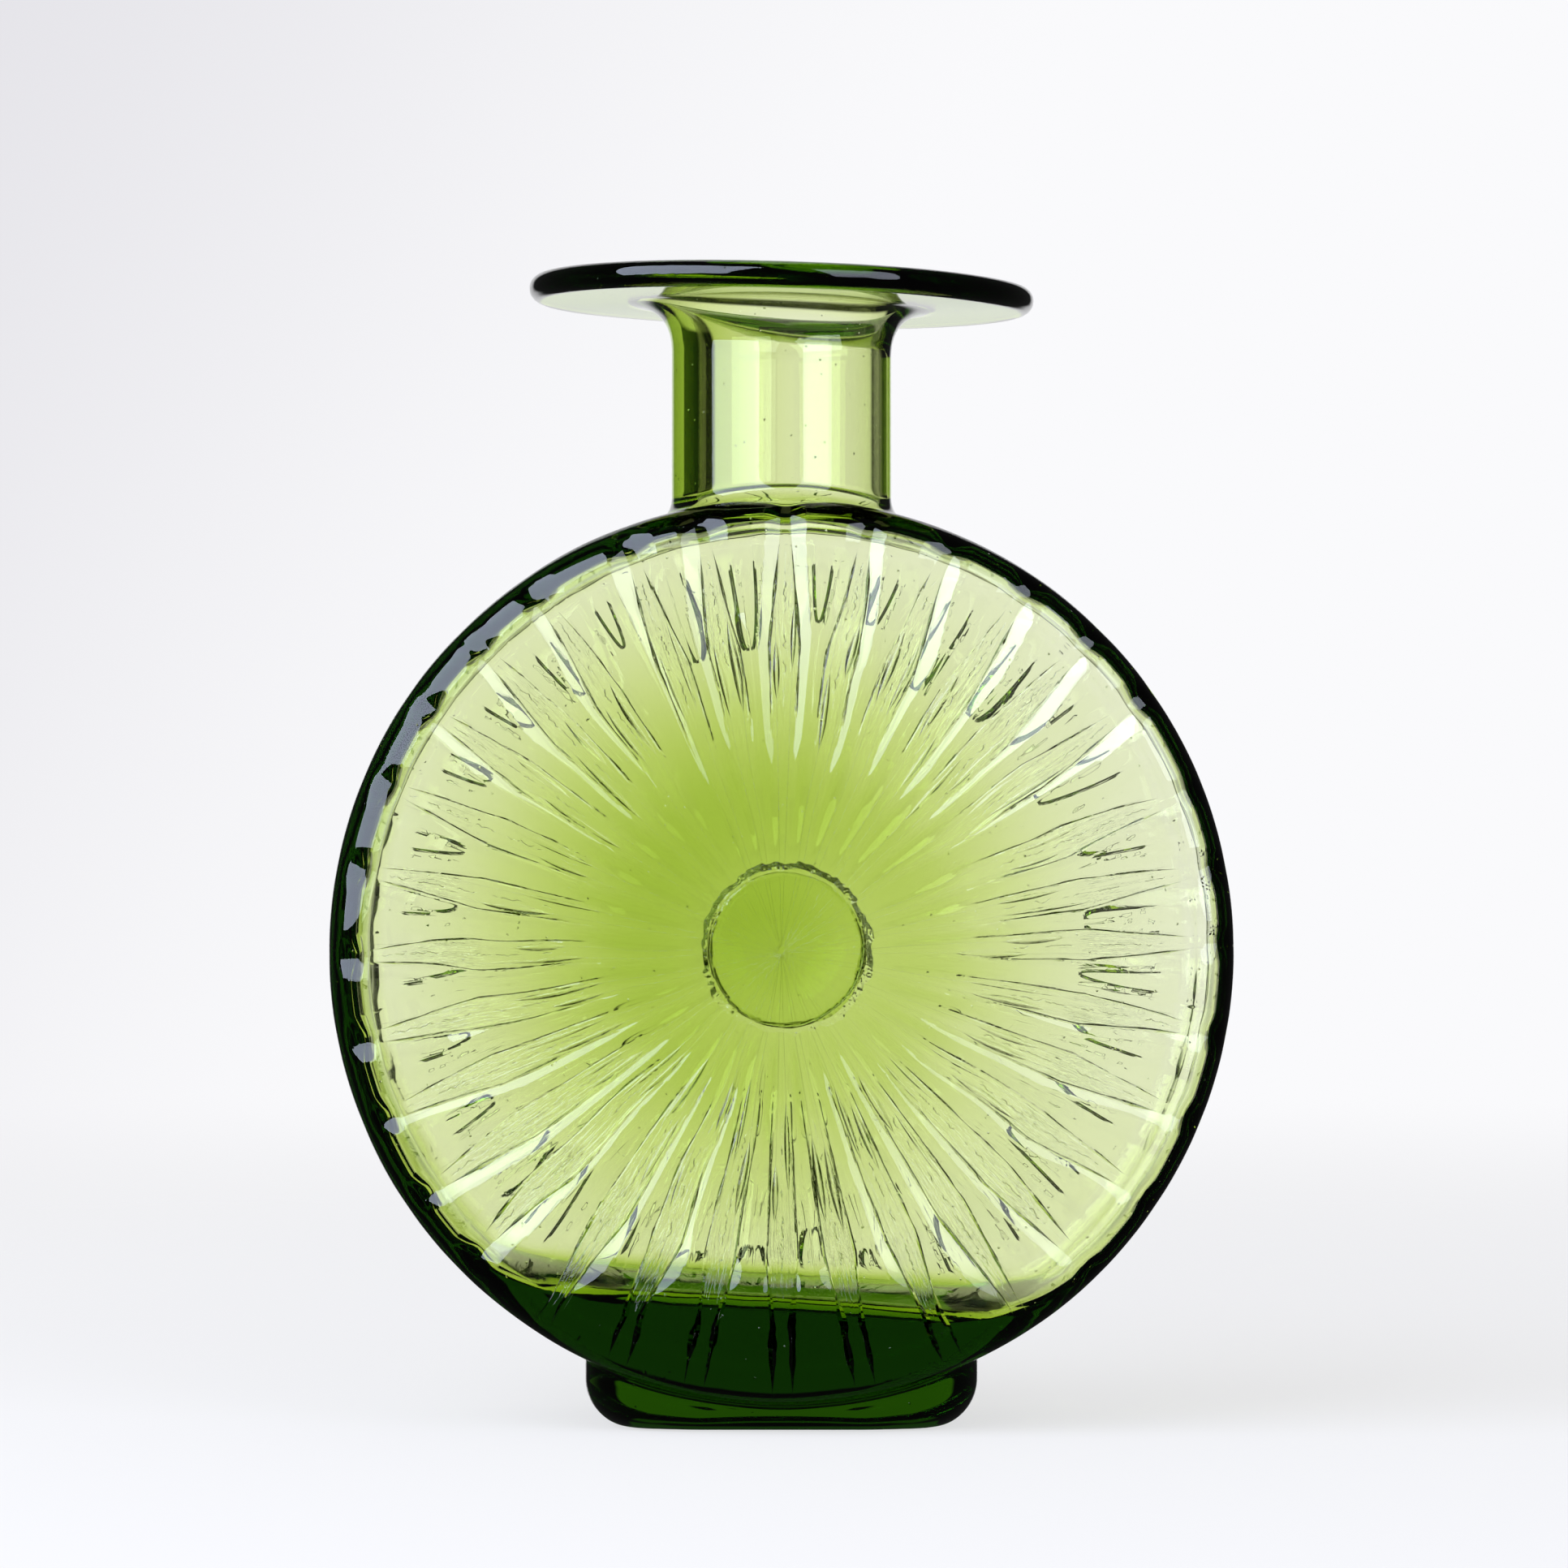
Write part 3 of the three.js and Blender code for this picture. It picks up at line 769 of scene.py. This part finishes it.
white_board = bpy.data.materials.new("matt_white_board")
white_board.use_nodes = True
tree = white_board.node_tree
tree.nodes.clear()
spot = add_node(tree, "TexCoord").outputs["Object"]
distance = add_node(tree, "VectorMath", spot, operation="LENGTH").outputs["Value"]
fade_range = (FLOOR_SOLID, FLOOR_RADIUS * FLOOR_GONE)
fade = add_node(tree, "MapRange", distance, *fade_range, interpolation_type=SOFT)
ray = add_node(tree, "LightPath").outputs
board_face = add_node(tree, "BsdfDiffuse", linear(FLOOR_MATT))
glow = add_node(tree, "Emission", linear(FLOOR_WHITE), 1.0)
paler = add_node(tree, "Math", ray["Is Camera Ray"], FLOOR_PALER, operation="MULTIPLY")
lit = add_node(tree, "MixShader", paler, board_face, glow)
unseen = add_node(tree, "Math", fade, ray["Is Glossy Ray"], operation="MAXIMUM")
clear = add_node(tree, "BsdfTransparent")
faded = add_node(tree, "MixShader", unseen, lit, clear)
add_node(tree, "OutputMaterial", {"Surface": faded})
board.materials.append(white_board)

# The room is a pale studio. Seen directly it is even, a little greyer at the left. Through the glass
# it is bright over the floor, behind, in front and at the sides, most at the right. Between stand dark
# cards under a dark band and a paler ceiling, which draw the glass's edges. Mirrored, it is dim.
ROOM_CORNER, ROOM_PALE = "#e4e3e8", "#fafafc"
CORNER_LEAN, CORNER_REACH = -0.6, (-0.26, -0.02)
ROOM_FILL = (0.5, 0.5, 0.5, 1)
CARD_DARK = (0.006, 0.006, 0.006, 1)
CARD_TURN = math.radians(-2)
CARD_EDGE = (0.945, 0.96)
CARD_FOOT = (-0.20, -0.12, 1.0, 0.0)
SIDE_RISE = (0.02, 0.05, 1.0, 0.9)
RIGHT_GLOW = (0.45, 0.75, 0.0, 0.45)
BAND_FROM, CEILING_FROM = (0.26, 0.32, 1.0, 0.0), (0.42, 0.5, 0.0, 0.8)
MIRROR_DIM = (0.03, 0.03, 0.03, 1)
MIRROR_EDGE, MIRROR_FOOT = (0.91, 0.96), (-0.3, -0.15)

world = bpy.data.worlds.new("studio")
world.use_nodes = True
bpy.context.scene.world = world
tree = world.node_tree
tree.nodes.clear()

way = add_node(tree, "TexCoord").outputs["Generated"]
rightward, _, upward = add_node(tree, "SeparateXYZ", way).outputs
level_way = add_node(tree, "VectorMath", way, (1, 1, 0), operation="MULTIPLY")
level_way = add_node(tree, "VectorMath", level_way, operation="NORMALIZE")
turned = {"Vector": level_way, "Angle": CARD_TURN}
turned = add_node(tree, "VectorRotate", turned, rotation_type="Z_AXIS")
side_on, end_on, _ = add_node(tree, "SeparateXYZ", turned).outputs
sides = add_node(tree, "Math", side_on, operation="ABSOLUTE")
side_rise = add_node(tree, "MapRange", upward, *SIDE_RISE, interpolation_type=SOFT)
sides = add_node(tree, "Math", sides, side_rise, operation="MULTIPLY")
ends = add_node(tree, "Math", end_on, operation="ABSOLUTE")
straight = add_node(tree, "Math", sides, ends, operation="MAXIMUM")
straight = add_node(tree, "MapRange", straight, *CARD_EDGE, interpolation_type=SOFT)
right_glow = add_node(tree, "MapRange", rightward, *RIGHT_GLOW, interpolation_type=SOFT)
open_way = add_node(tree, "Math", straight, right_glow, operation="MAXIMUM")
under_band = add_node(tree, "MapRange", upward, *BAND_FROM, interpolation_type=SOFT)
ceiling = add_node(tree, "MapRange", upward, *CEILING_FROM, interpolation_type=SOFT)
not_band = add_node(tree, "Math", under_band, ceiling, operation="MAXIMUM")
open_way = add_node(tree, "Math", open_way, not_band, operation="MULTIPLY")
over_floor = add_node(tree, "MapRange", upward, *CARD_FOOT, interpolation_type=SOFT)
open_way = add_node(tree, "Math", open_way, over_floor, operation="MAXIMUM")
pale = linear(ROOM_PALE)
through = add_node(tree, "MixRGB", open_way, CARD_DARK, pale)
mirror_way = add_node(tree, "MapRange", end_on, *MIRROR_EDGE, interpolation_type=SOFT)
mirror_foot = add_node(tree, "MapRange", upward, *MIRROR_FOOT, interpolation_type=SOFT)
mirror_way = add_node(tree, "Math", mirror_way, mirror_foot, operation="MULTIPLY")
mirrored = add_node(tree, "MixRGB", mirror_way, MIRROR_DIM, pale)
from_corner = add_node(tree, "Math", upward, CORNER_LEAN, rightward, operation="MULTIPLY_ADD")
from_corner = add_node(tree, "MapRange", from_corner, *CORNER_REACH, interpolation_type=SOFT)
seen = add_node(tree, "MixRGB", from_corner, linear(ROOM_CORNER), pale)
ray = add_node(tree, "LightPath").outputs
room = add_node(tree, "MixRGB", ray["Is Camera Ray"], ROOM_FILL, seen)
room = add_node(tree, "MixRGB", ray["Is Glossy Ray"], room, mirrored)
room = add_node(tree, "MixRGB", ray["Is Transmission Ray"], room, through)
sky = add_node(tree, "Background", room, 1.0)
add_node(tree, "OutputWorld", {"Surface": sky})

# Two softboxes light the flask from in front: a large key up at the left, and a weaker strip at the
# right. They lie in the flutes' flanks as white streaks and stand on the neck as pale strips.
target = Vector((0, 0, body_z * MM))


def softbox(name, azimuth, elevation, distance, width, height, radiance, colour):
    turn, rise = math.radians(azimuth), math.radians(elevation)
    way = Vector(
        (math.sin(turn) * math.cos(rise), -math.cos(turn) * math.cos(rise), math.sin(rise))
    )
    panel = bpy.data.lights.new(name, "AREA")
    panel.shape = "RECTANGLE"
    panel.size = width
    panel.size_y = height
    panel.color = linear(colour)[:3]
    panel.energy = radiance * math.pi * width * height
    lamp = bpy.data.objects.new(name, panel)
    lamp.location = target + distance * way
    lamp.rotation_euler = way.to_track_quat("Z", "Y").to_euler()
    bpy.context.collection.objects.link(lamp)


softbox(
    "key_softbox",
    azimuth=-50,
    elevation=30,
    distance=1.25,
    width=1.36,
    height=1.36,
    radiance=6.4,
    colour="#dbe6ff",
)
softbox(
    "right_strip",
    azimuth=38,
    elevation=25,
    distance=1.3,
    width=0.75,
    height=1.15,
    radiance=3.8,
    colour="#e4ecff",
)

# The camera stands level, about a metre away, a little over half the flask's height.
CAMERA_DISTANCE = 1.1
CAMERA_HEIGHT = 0.1233
CAMERA_SIDE = 0.0005
PHOTO_SIZE = 1932
PIXELS_PER_METRE = 6350.6
SENSOR_WIDTH = 36
FAR_CLIP = 20
GLASS_BOUNCES, MIRROR_BOUNCES = 32, 8

lens = bpy.data.cameras.new("camera")
lens.sensor_width = SENSOR_WIDTH
lens.lens = lens.sensor_width * PIXELS_PER_METRE * CAMERA_DISTANCE / PHOTO_SIZE
lens.clip_end = FAR_CLIP
camera = bpy.data.objects.new("camera", lens)
camera.location = (CAMERA_SIDE, -CAMERA_DISTANCE, CAMERA_HEIGHT)
camera.rotation_euler = (math.pi / 2, 0, 0)
bpy.context.collection.objects.link(camera)

scene = bpy.context.scene
scene.camera = camera
scene.view_settings.view_transform = "Standard"
scene.cycles.max_bounces = GLASS_BOUNCES
scene.cycles.transmission_bounces = GLASS_BOUNCES
scene.cycles.glossy_bounces = MIRROR_BOUNCES
